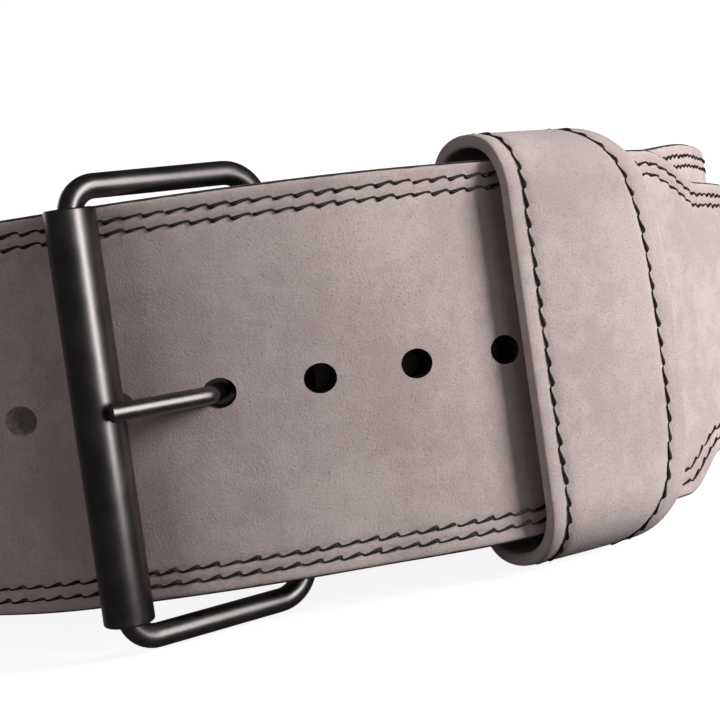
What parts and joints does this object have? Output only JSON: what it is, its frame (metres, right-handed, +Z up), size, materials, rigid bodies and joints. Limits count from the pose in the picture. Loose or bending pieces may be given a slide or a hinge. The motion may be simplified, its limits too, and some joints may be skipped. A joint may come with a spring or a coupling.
{
  "type": "weightlifting belt",
  "caption": "Thick taupe leather weightlifting belt with a dark roller buckle and a wide leather keeper.",
  "frame": {"origin": "middle of the belt's outline, at the height of the surface that it stands on", "axes": "+Z up, across the strap. The buckle and the keeper face -Y, and the tongue runs on from the buckle towards +X"},
  "size_m": [0.3134, 0.2608, 0.1193],
  "materials": {
    "leather": "mauve-grey nubuck with black painted edges and black stitches",
    "keeper_leather": "mauve-grey nubuck with black stitches",
    "dark_metal": "satin dark gunmetal plating"
  },
  "bodies": {
    "root": {"belt_strap": "leather", "keeper": "keeper_leather", "buckle_frame": "dark_metal", "buckle_roller": "dark_metal", "buckle_prong": "dark_metal"}
  },
  "joints": []
}
